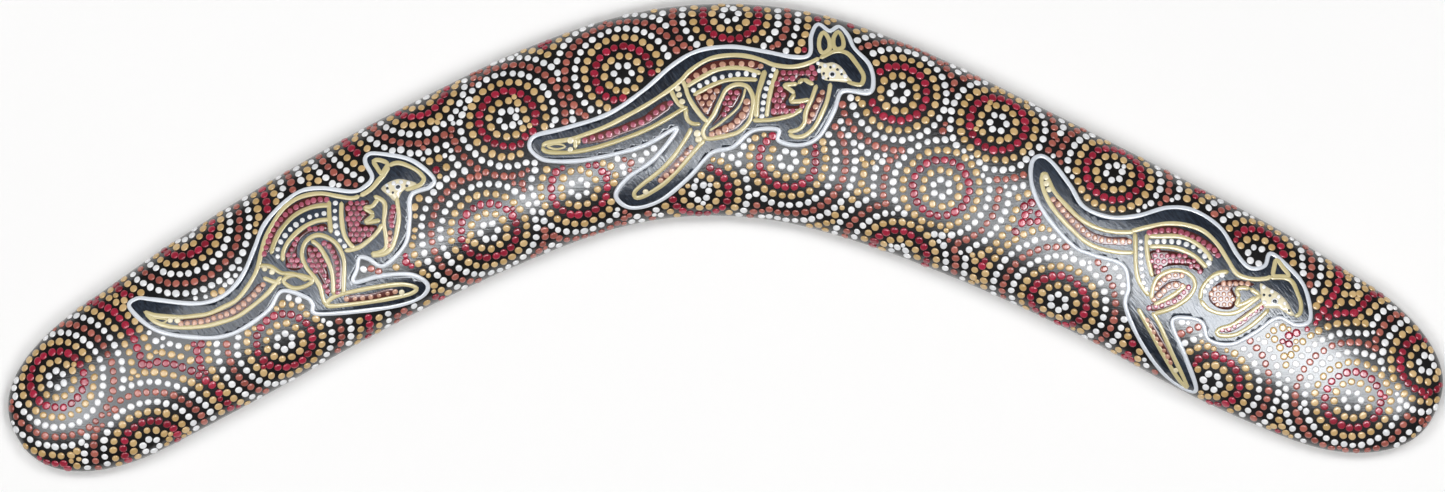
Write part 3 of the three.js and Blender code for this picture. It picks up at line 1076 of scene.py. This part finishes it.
MIDDLE_KANGAROO = {
    "outline": [
        (-68.1, -12.6), (-65.8, -9.1), (-55.8, -6.6), (-40.8, -1.7), (-28.6, 6.4), (-18.3, 15.3),
        (-9.4, 20.3), (2, 21.8), (13.5, 20.2), (24, 18.2), (29.5, 19.1), (30.1, 25.6),
        (32.5, 29.7), (36.5, 27.3), (39.8, 28.9), (43, 25.6), (45, 21.4), (50.3, 15.6),
        (51.7, 9.4), (49.8, 5.7), (41, 6.3), (38, -0.5), (32.8, -9.4), (26, -12.4),
        (18.7, -10.8), (18.6, -7), (9.8, -7.4), (2.6, -13.1), (-4.7, -15.2), (-12.6, -23.6),
        (-22.8, -31.7), (-32.7, -34.1), (-38, -30), (-33.8, -23.8), (-24.6, -17.2),
        (-16.6, -6.4), (-28.8, -12.8), (-48.1, -17.5), (-60.8, -17.9), (-65.8, -16),
    ],
    "lines": [
        # back, from the tail to the neck; under the tail; second and third arcs of the haunch
        [(-63.8, -12.9), (-62, -11.7), (-58, -11.1), (-53.5, -10.3), (-48.9, -8.8), (-45, -7.4),
         (-40, -5.3), (-35, -2.7), (-30, 0), (-25, 3), (-18.8, 7.2), (-15, 10.4), (-12.7, 12.9),
         (-9.3, 15.5), (-6, 17.3), (-2.7, 18.3), (1.3, 18.8), (5.3, 18.8), (9.3, 18.2), (13.3, 17),
         (16.7, 15.6), (20, 15), (23.3, 14.8), (26.7, 15.3), (30, 16.4), (33, 17.9)],
        [(-63.8, -13.1), (-62.8, -14.4), (-60, -15), (-55, -15), (-50, -14.4), (-45, -13.3),
         (-40, -11.8), (-35, -10.1), (-30, -8.2), (-25, -5.9), (-19.8, -3), (-15.2, -0.2), (-13, 0.9)],
        [(-13.4, 7.9), (-9.4, 10.4), (-6.4, 12.1), (-3.4, 13.5), (0, 14.3), (3.6, 14.5), (7.2, 14.2),
         (10.4, 13.2), (12.6, 12.4)],
        [(-11, 4.9), (-7, 7.1), (-3.4, 8.9), (0, 10), (3.4, 10.5), (7, 10.5), (11.4, 10.3)],
        # bands across the tail
        [(-52.1, -9.6), (-52.1, -13.7)],
        [(-51, -9.6), (-51, -12.3)],
        # hip: the bracket behind the haunch, the haunch, and the crescent under it
        [(-18.9, 6.9), (-17.6, 4.2), (-16, 1.8), (-14, 0.4)],
        [(-15, 10.4), (-13.8, 8), (-13, 5.2), (-11.6, 2.4), (-9.7, -0.4), (-7.6, -3), (-5.6, -4.6)],
        [(-13.4, 0.6), (-13.6, -1.6), (-12.8, -3.9), (-11, -5), (-8.4, -5.1)],
        # shin
        [(-11.6, -6.4), (-13.4, -9.8), (-15.7, -13.3), (-18.2, -16.8), (-21.4, -20.2), (-25, -23.2),
         (-29, -26.2), (-31.6, -28.8), (-31, -30.6), (-28.4, -30.1), (-25.2, -28.4), (-21.6, -26),
         (-18, -22.8), (-14.8, -19.4), (-11.6, -15.6), (-9, -12.6), (-7, -10.6)],
        # shoulder and belly
        [(18.3, 14), (17.3, 11), (16.2, 7.7), (15.5, 4.3), (15, 1), (14.5, -2.7)],
        [(9.6, -3.8), (13.4, -3.8), (17, -3.5), (20.4, -2.8), (23.8, -1.8), (27, 0.2)],
        # arm
        [(32, 8.6), (31, 5.8), (30, 3), (28.8, 0.6), (28, -2), (27.9, -4.2), (26.6, -6.3), (24.4, -7.4),
         (21.9, -7.8)],
        [(36.8, 9.2), (36.3, 6), (35.4, 2.4), (33.8, -1.4), (32.2, -4.6), (30.3, -7.2), (27.6, -9.2),
         (24.6, -9.6), (22.2, -8.6)],
        # head
        [(33, 17.9), (33.8, 18.2), (37.4, 19.9), (40.5, 20.2), (43.1, 19.2), (45.4, 16.5), (48, 12.6),
         (48.3, 10.4), (47.3, 8.6), (44.8, 8.9), (42.4, 9.8)],
        # star on the chest
        [(20.2, 8.5), (23, 8.7), (25.4, 8.9)],
        [(25.4, 8.9), (27.4, 10.7)],
        [(27.4, 10.7), (29.2, 9.5), (31, 8.6)],
        [(20.2, 8.5), (22.4, 7.1), (24.4, 5.5)],
        [(24.4, 5.5), (22.5, 2.6)],
        [(22.5, 2.6), (26, 2.8), (29.6, 3.4)],
    ],
    "bands": [
        (0.8, [(-62.2, -12.9), (-59.4, -12.1), (-56.4, -12.4), (-55.8, -13.2), (-59, -13.8),
            (-62.2, -12.9)]),
        (2, [(14, 13.7), (13, 10.3), (12, 7), (11.3, 3.7), (11, 0.3), (11, -3)]),
        (0.9, [(7.2, 7.6), (6.4, 4.3), (4.9, 1.1), (2.8, -1.2), (0.3, -3.2), (-2.4, -5.4),
            (-5.4, -7.4)]),
    ],
    "loops": [
        # thigh and ears
        [(-5.7, -4.3), (-4, -2), (-2.7, 0.7), (-1.3, 3.7), (0.3, 6.7), (2.7, 8.3), (5.3, 8.7), (7.7, 8),
         (9, 6.3), (9.8, 4), (9.8, 1.3), (9.3, -1.3), (8.7, -3.7), (6.7, -6.3), (4, -8.2), (0, -9.3),
         (-4, -10), (-6.7, -10), (-7.6, -7.4)],
        [(34.4, 26.8), (33, 24.6), (32.9, 21.4), (34.2, 19.6), (36.4, 21), (36.3, 24.2)],
        [(39.5, 27), (38, 25.2), (37.8, 22.4), (39, 20.9), (41.2, 21.8), (41, 24.8)],
    ],
    "rows": [
        ("rose", 2.9, 1.17, [(-49, -10.9), (-46, -10.1), (-43.1, -9.6), (-40.3, -8.7), (-36.7, -7.4),
            (-33.9, -6.3), (-30.6, -5), (-27.4, -3.6), (-24.6, -1.6), (-21.5, 0.6), (-19, 2.1)]),
        ("salmon", 3.2, 1.12, [(-12.6, 9.9), (-9.7, 12), (-7, 13.5), (-4.5, 14.7), (-1.3, 15.5),
            (2.2, 16), (5.7, 15.9), (9, 15.7), (12.4, 15.1)]),
        ("white", 3, 0.92, [(-11, 6.5), (-8.5, 8.4), (-5.6, 9.8), (-2.4, 10.9), (1, 11.7), (4.5, 12.3),
            (7.4, 12.4), (10.2, 11.9)]),
        ("white", 2.55, 0.92, [(17, 13.8), (16.1, 11.5), (15.1, 9), (14.2, 6.5), (13.6, 3.9), (13.2, 1),
            (12.8, -2.4)]),
        ("salmon", 2.7, 1.02, [(34, 5.9), (32.8, 3), (31.6, 0.6), (30.5, -1.8), (29.3, -4.2)]),
        ("salmon", 2.6, 1.22, [(7.7, 2.6), (7.2, -0.6), (5.2, -3), (3.4, -5.2), (0.9, -6.5), (-2, -7.8),
            (-4.6, -8.6)]),
        ("salmon", 2.4, 0.97, [(-11.9, -13.3), (-14, -16.2), (-16.1, -18.3), (-18.6, -21.3),
            (-20.8, -23.2), (-22.4, -24.7)]),
    ],
    "patches": [
        ("salmon", 2.6, 1.05, [(-10.6, 4.2), (-7.2, 6), (-3.6, 7.8), (-1.2, 8.6), (-1.6, 6.6),
            (-3.2, 3), (-4.2, 0), (-5.4, -2.6), (-8, -0.6)]),
        ("rose", 2.2, 0.97, [(-4.6, -5.6), (-2.4, -2.4), (-0.8, 1.6), (0.8, 5), (3, 7), (5.8, 7),
            (5.4, 4.4), (3.6, 1.2), (1.2, -1.2), (-1.8, -3.6)]),
        ("rose", 2.2, 1.02, [(18.8, 13.4), (24, 13.6), (30.6, 14.8), (32, 12.6), (32, 10), (29.4, 10.8),
            (27.2, 12), (24.8, 10), (19.4, 9.6), (18.8, 8), (22.4, 5.6), (21, 2), (24, 1.2),
            (28.4, 1.8), (26.4, -0.2), (22.4, -1.4), (16.4, -2.4), (16.4, 3), (17.2, 8)]),
    ],
    "face":
        [(33, 16.4), (35, 16), (37.4, 16.3), (39.6, 15.4), (41.4, 13.7), (43, 11.2), (44.4, 9.6),
         (42, 9.4), (39.4, 9.7), (36.6, 9.9), (34.4, 10.4), (33.4, 12.6), (32.6, 14.6)],
    "spots": [
        ("cream", 1.05, [(-53.8, -10.9), (-53.9, -13.9), (-16.3, 7.3), (-16, 5), (-15, 2.7),
            (-27.7, -28.5)]),
        ("cream", 1.35, [(-9.6, -8.4), (-9.2, -10.4)]),
        ("white", 0.75, [(32.4, 16), (34.9, 15.2), (38, 15), (40.5, 13.4), (42, 11.4), (32.8, 13.4),
            (34.2, 11)]),
        ("navy", 0.5, [(33.2, 14.6), (36.7, 14.6), (39.1, 13.8), (40.6, 12.1), (36, 10.7),
            (34.5, 12.5)]),
    ],
    "eye": (37.4, 12.1),
}

RIGHT_KANGAROO = {
    "outline": [
        (106.9, -19), (109.8, -16.3), (114, -18.5), (120.3, -26.6), (125.1, -34),
        (134, -37.6), (143.6, -37.2), (154.4, -34.3), (163.7, -35.4), (172.8, -41.4),
        (178.5, -50.6), (183, -55.3), (188.2, -54.6), (190.3, -50.3), (196.3, -54.8),
        (202.1, -62.1), (204.1, -72.8), (199.4, -75.2), (192.7, -72.6), (184.9, -77.7),
        (176.6, -81.8), (168.8, -80.3), (166.4, -74.4), (161, -72.6), (155.9, -74.3),
        (160.9, -87), (164.3, -98.2), (154.6, -93.3), (145.7, -81.9), (139.8, -68.9),
        (140.7, -61.8), (138.6, -54.2), (128.3, -50.7), (121, -47.2), (111.7, -36.6),
        (107.2, -27),
    ],
    "lines": [
        # under and over the tail, back to the neck; second and third arcs of the haunch
        [(111, -21.8), (110.4, -25), (111.4, -29), (114, -33.9), (117.2, -38), (120.6, -41.5),
         (125, -45.6), (130, -48.2), (136.8, -49.7), (142.6, -49.9)],
        [(111.4, -21.8), (114.8, -28.6), (119.4, -33.9), (124.2, -38.4), (130, -41.4), (136, -42.7),
         (142.7, -42.8)],
        [(141.4, -42.6), (146.7, -41.2), (153.3, -39.9), (160, -40.2), (166.5, -42.3), (171.5, -46.8),
         (175.3, -52.6), (178.6, -57.4), (183.5, -59.1), (188.4, -59), (190.6, -58.2)],
        [(147.4, -44.2), (152, -44.3), (156.8, -44.2), (160.8, -45), (164.6, -47), (167.6, -49.6),
         (169.8, -52.8)],
        [(147.8, -47.8), (152, -47.8), (156.5, -48.2), (160.4, -49.4), (164, -51.4), (168, -55.2)],
        # thigh, with the line inside it
        [(148.6, -66.4), (149.2, -62), (150.6, -58.9), (153.6, -56.8), (157.4, -56), (161, -56.9),
         (163.4, -59.2), (163.7, -62), (161.8, -65.2), (158.4, -67.8), (154.4, -69.8), (149.6, -71.2)],
        [(149.4, -68.2), (153.2, -66.4), (156.6, -64.4), (160.8, -61.2)],
        # shoulder
        [(142.9, -43), (143.1, -49), (143.2, -54), (144, -59), (146, -62.6), (148, -65)],
        [(147, -43.4), (147.1, -49), (147.9, -54), (149, -58.4)],
        # shin
        [(144, -69.2), (147.9, -76.2), (150.4, -80.9), (153.2, -85.7), (156.3, -90.8), (159, -94.6),
         (161.6, -97.2)],
        [(149, -70.6), (151.6, -75), (153.6, -79.6), (155.8, -84.5), (157.9, -88.8), (159.8, -92.6),
         (161.8, -97)],
        # chest
        [(165.6, -66.4), (166.2, -62.6), (168.4, -59.4), (171.6, -57.2), (175.6, -56.6)],
        [(165.6, -66.4), (168.6, -69.6), (172.6, -71), (177, -71), (180.6, -69.4), (184.4, -66.6),
         (187, -64.6)],
        # arm
        [(188.4, -66.8), (184, -70.2), (180, -73.2), (176, -75.4), (173, -76.2), (171.4, -77.6),
         (173, -78.8), (178, -78.4), (183, -75.6), (187, -72.2), (189.6, -69.6)],
        # star on the chest
        [(178, -62.6), (180.4, -62.2), (183, -62.4)],
        [(183, -62.4), (184.8, -63.6), (186.4, -64.6)],
        [(178, -62.6), (179.4, -65.6)],
        [(179.4, -65.6), (178, -68.6)],
        [(178, -68.6), (181.4, -67.4), (185, -65.4)],
    ],
    "bands": [
        (1.6, [(190, -58.7), (194.4, -58.7), (196.7, -59.3), (198.2, -60.8), (199.1, -62.8),
            (199.9, -64.9), (200.7, -67.2), (200.8, -69.6), (200.2, -71.4), (198.5, -72.2)]),
    ],
    "loops": [
        # ear
        [(192.4, -52.4), (191.5, -55), (191.2, -57.9), (194, -58.2), (196.6, -58), (194.6, -55.2)],
    ],
    "rows": [
        ("salmon", 2.4, 1.02, [(114.6, -31.4), (117.2, -34.4), (120.2, -37.8), (123, -40.6),
            (127, -43.8), (131.4, -45.4), (136, -45.9), (141, -46)]),
        ("rose", 2.3, 1.02, [(148, -43), (152, -42.4), (156.5, -42.4), (161.5, -43.8), (166, -46),
            (170, -48.8), (171.8, -51)]),
        ("white", 2.6, 0.97, [(148, -46.4), (153, -46), (158, -46.4), (161.6, -47.4), (165, -49),
            (167.6, -51.6), (168.6, -53.4)]),
        ("white", 2.5, 0.92, [(144.9, -46), (145.1, -54), (145.6, -59), (146.8, -62.6)]),
        ("salmon", 2.3, 0.97, [(150.4, -62.4), (152.4, -59.6), (155.4, -57.9), (159.2, -57.9)]),
        ("salmon", 2.3, 0.97, [(149.6, -66.2), (152, -64), (155.4, -61.4), (159.4, -61.4)]),
        ("rose", 2.4, 0.97, [(147.9, -69.1), (151.5, -68.5), (154.4, -67.4), (157.4, -66.5),
            (159.1, -64.7), (161.5, -62.1)]),
        ("white", 2.4, 0.97, [(167.2, -63.4), (168.6, -61.2), (170.6, -59.2), (173.2, -57.8)]),
        ("rose", 2.4, 0.97, [(187, -69), (183.2, -71.2), (180.9, -73), (176.7, -75.9),
            (173.3, -76.8)]),
        ("salmon", 2.5, 0.92, [(147.1, -73.3), (148.8, -76.2), (150, -78.7), (152.5, -82.8),
            (153.8, -85.3), (155.4, -88.3)]),
    ],
    "patches": [
        ("rose", 2.1, 0.92, [(148.2, -49.4), (156, -49.4), (160.6, -50.8), (164.8, -53.4), (167, -56),
            (165, -56.6), (161, -54.6), (156, -54.4), (152.4, -55.4), (149.6, -58.4), (148.8, -54)]),
        ("salmon", 2.1, 0.92, [(169, -63.6), (172.6, -60.2), (178.2, -59.4), (184, -60.6),
            (183.4, -61.6), (177, -62), (178.2, -65.6), (176.8, -69.4), (172.4, -69.4), (169, -66.8)]),
    ],
    "face":
        [(186.6, -60.6), (189.4, -62.2), (192.3, -63.7), (194.9, -65.8), (196.4, -67.8), (197.6, -70.2),
         (198.6, -71.6), (197.4, -72), (194.9, -70.6), (192.9, -69.4), (189.9, -69.4), (187.9, -69),
         (186.9, -66.6), (186.6, -63.1)],
    "spots": [
        ("cream", 1.05, [(157.5, -90.8), (111.8, -23.6), (112.1, -26), (113, -28)]),
        ("white", 0.7, [(187.8, -61.9), (190.4, -63.5), (193, -65.2), (195.2, -67.6), (188, -67.4)]),
        ("navy", 0.5, [(189.9, -64.9), (187.8, -64.7), (196.6, -70.2)]),
    ],
    "eye": (191.6, -67),
}


def make_kangaroo(side, figure, draw):
    """One kangaroo: its dark body, white outline, gold lines, dots and face."""
    name = f"kangaroo_{side}"
    outline = MM * np.array(figure["outline"])
    body = Shells()
    add_slab(body, outline, BODY_TOP, -DOT_SINK, draw)
    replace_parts(body.build(f"{name}_body", PAINTS["navy"], SLOTS["navy"]), name)
    edge = Shells()
    add_line(edge, outline, OUTLINE_WIDTH, OUTLINE_HEIGHT, 0.0, draw, closed=True)
    edge.build(f"{name}_outline", PAINTS["ice"], SLOTS["ice"])
    make_gold_lines(name, figure, draw)
    made = {colour: Shells() for colour in MARK_COLOURS}
    add_slab(made["cream"], MM * np.array(figure["face"]), FACE_TOP, BODY_TOP - DOT_SINK, draw)
    for colour, pitch, radius, curve in figure["rows"]:
        curve = MM * np.array(curve)
        if colour in FILMED:
            width = 2 * (radius * MM + FILM_MARGIN)
            add_line(made["maroon"], curve, width, FILM_TOP - BODY_TOP, BODY_TOP, draw)
        add_marks(made[colour], evenly(curve, pitch * MM, False), radius * MM, draw)
    for colour, pitch, radius, border in figure["patches"]:
        border = MM * np.array(border)
        add_slab(made["maroon"], border, FILM_TOP, BODY_TOP - DOT_SINK, draw)
        rim = evenly(border, LINE_STEP, True)
        places = honeycomb(rim, pitch * MM, PATCH_MARGIN * radius * MM)
        add_marks(made[colour], places, radius * MM, draw)
    for colour, radius, places in figure["spots"]:
        add_marks(made[colour], MM * np.array(places), radius * MM, draw, FACE_TOP)
    points, normals = on_blade(MM * np.array([figure["eye"]]))
    add_dot(made["white"], points[0], normals[0], EYE_RADIUS, MARK_HEIGHT, BODY_TOP, draw)
    add_dot(made["navy"], points[0], normals[0], PUPIL_RADIUS, PUPIL_HEIGHT, BODY_TOP, draw)
    for colour, shells in made.items():
        if shells.count:
            shells.build(f"{name}_{colour}_marks", PAINTS[colour], SLOTS[colour])
    return outline


def make_gold_lines(name, figure, draw):
    """The gold lines, bands and loops of one kangaroo."""
    gold = Shells()
    for line in figure["lines"]:
        add_line(gold, MM * np.array(line), LINE_WIDTH, LINE_HEIGHT, BODY_TOP, draw)
    for width, line in figure["bands"]:
        add_line(gold, MM * np.array(line), width * MM, LINE_HEIGHT, BODY_TOP, draw)
    for loop in figure["loops"]:
        add_line(gold, MM * np.array(loop), LINE_WIDTH, LINE_HEIGHT, BODY_TOP, draw, closed=True)
    gold.build(f"{name}_lines", PAINTS["gold"], SLOTS["gold"])


def add_marks(shells, flat, radius, draw, base=BODY_TOP):
    """Small dots on a kangaroo's body, at places seen from above."""
    points, normals = on_blade(flat + draw.normal(0, MARK_PLACE_SPREAD, flat.shape))
    for point, normal in zip(points, normals):
        size = radius * draw.normal(1, MARK_SIZE_SPREAD)
        add_dot(shells, point, normal, size, MARK_HEIGHT, base, draw)


# ---- Stage, light and camera ----

FLOOR_SIDE = 24.0
# The floor lies this far below the back face.
FLOOR_GAP = 0.2 * MM
PALE_BLUE = (0.93, 0.965, 1.0)
WARM_WHITE = (1.0, 0.985, 0.96)
# Soft panels close above, which only shine back from parts of each arm: place, size along X and
# Y, power, and turn about Z.
PANELS = {
    "left_panel": ((-0.35, -0.24, 0.8), (0.5, 0.64), 3.4, 0.45),
    "left_end": ((-0.66, -0.37, 0.84), (0.5, 0.36), 2.4, 0.45),
    "right_panel": ((0.17, -0.19, 0.8), (0.3, 0.6), 1.2, -0.45),
    "right_strip": ((0.22, -0.19, 0.76), (0.26, 0.46), 4.3, -0.45),
    "right_end": ((0.52, -0.3, 0.84), (0.46, 0.3), 3.4, -0.45),
}
# Fill lights round the object, tilted towards it. They aren't seen in the gloss.
FILL_COUNT = 4
FILL_DISTANCE = 2.4
FILL_HEIGHT = 3.6
FILL_SIDE = 1.6
FILL_POWER = 57.0
ROOM_STRENGTH = 0.07


def make_floor():
    """A plain pale floor, which isn't part of the object."""
    half = 0.5 * FLOOR_SIDE
    turns = ((-1, -1), (1, -1), (1, 1), (-1, 1))
    mesh = bpy.data.meshes.new("floor")
    mesh.from_pydata([(half * x, half * y, -FLOOR_GAP) for x, y in turns], [], [(0, 1, 2, 3)])
    mesh.materials.append(pale_floor("floor"))
    floor = bpy.data.objects.new("floor", mesh)
    bpy.context.scene.collection.objects.link(floor)


def add_light(name, place, size, power, colour):
    """A soft rectangular light that faces the object."""
    data = bpy.data.lights.new(name, "AREA")
    data.shape = "RECTANGLE"
    data.size, data.size_y = size
    data.energy = power
    data.color = colour
    light = bpy.data.objects.new(name, data)
    light.location = place
    light.visible_camera = False
    bpy.context.scene.collection.objects.link(light)
    return light


def make_lights():
    """The soft panels, the fill lights and a faint even room light."""
    for name, (place, size, power, turn) in PANELS.items():
        panel = add_light(name, place, size, power, PALE_BLUE)
        panel.rotation_euler = (0, 0, turn)
        panel.visible_diffuse = False
    for i in range(FILL_COUNT):
        turn = 2 * math.pi * (i + 0.5) / FILL_COUNT
        place = Vector((FILL_DISTANCE * math.cos(turn), FILL_DISTANCE * math.sin(turn), FILL_HEIGHT))
        light = add_light(f"fill_{i + 1}", place, (FILL_SIDE, FILL_SIDE), FILL_POWER, WARM_WHITE)
        light.rotation_euler = place.to_track_quat("Z", "Y").to_euler()
        light.visible_glossy = False
    world = bpy.data.worlds.new("room")
    world.use_nodes = True
    background = world.node_tree.nodes["Background"]
    background.inputs["Color"].default_value = (*WARM_WHITE, 1)
    background.inputs["Strength"].default_value = ROOM_STRENGTH
    bpy.context.scene.world = world


# The camera looks straight down, from far enough away that the dome hides nothing.
LENS = 400
SENSOR = 36
FARTHEST_SEEN = 100
VIEW_WIDTH = 504.9 * MM
VIEW_OFFSET = Vector((-1.0 * MM, -3.0 * MM, 0))


def make_camera():
    """The camera, over the middle of the CAD model's box."""
    low, high = cad_box
    centre = 0.5 * (low + high) + VIEW_OFFSET
    data = bpy.data.cameras.new("camera")
    data.lens = LENS
    data.sensor_width = SENSOR
    data.clip_end = FARTHEST_SEEN
    camera = bpy.data.objects.new("camera", data)
    camera.location = (centre.x, centre.y, WIDEST_HEIGHT + VIEW_WIDTH * LENS / SENSOR)
    bpy.context.scene.collection.objects.link(camera)
    bpy.context.scene.camera = camera
    bpy.context.scene.view_settings.view_transform = "Standard"


make_camera()
make_plies()
make_ground_coat()
figure_draw = np.random.default_rng(SEED + 2)
outlines = [
    make_kangaroo("left", LEFT_KANGAROO, figure_draw),
    make_kangaroo("middle", MIDDLE_KANGAROO, figure_draw),
    make_kangaroo("right", RIGHT_KANGAROO, figure_draw),
]
make_ring_dots([evenly(outline, LINE_STEP, True) for outline in outlines])
make_floor()
make_lights()
